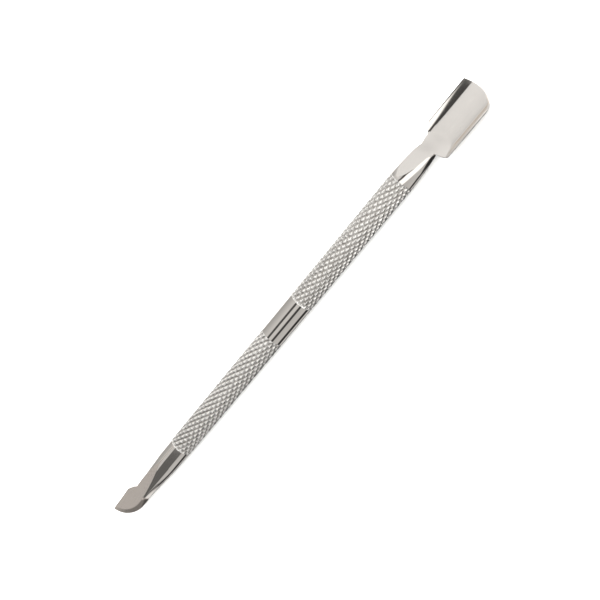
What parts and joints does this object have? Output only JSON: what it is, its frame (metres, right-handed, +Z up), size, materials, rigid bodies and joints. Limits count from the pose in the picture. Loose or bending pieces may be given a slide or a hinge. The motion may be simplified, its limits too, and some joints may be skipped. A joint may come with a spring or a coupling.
{
  "type": "cuticle pusher",
  "caption": "Slim double-ended metal nail tool: diamond-knurled round handle, shallow squared spoon pusher at one end and a curved-edge scraper blade at the other.",
  "frame": {"origin": "on the surface that the handle lies on, straight below the handle's axis, halfway along the tool's length", "axes": "+X along the tool towards the spoon end, +Z up out of the spoon's open side, +Y across, towards the scraper blade's straight back"},
  "size_m": [0.1328, 0.0092, 0.0056],
  "materials": {
    "knurled_bar_steel": "bright polished bar with rolled diamond knurling",
    "ground_blade_steel": "ground satin flats on a polished round shank",
    "satin_spoon_steel": "satin-polished spoon and neck flat on a polished round neck"
  },
  "bodies": {
    "root": {"knurled_handle": "knurled_bar_steel", "scraper_blade": "ground_blade_steel", "spoon_pusher": "satin_spoon_steel"}
  },
  "joints": []
}
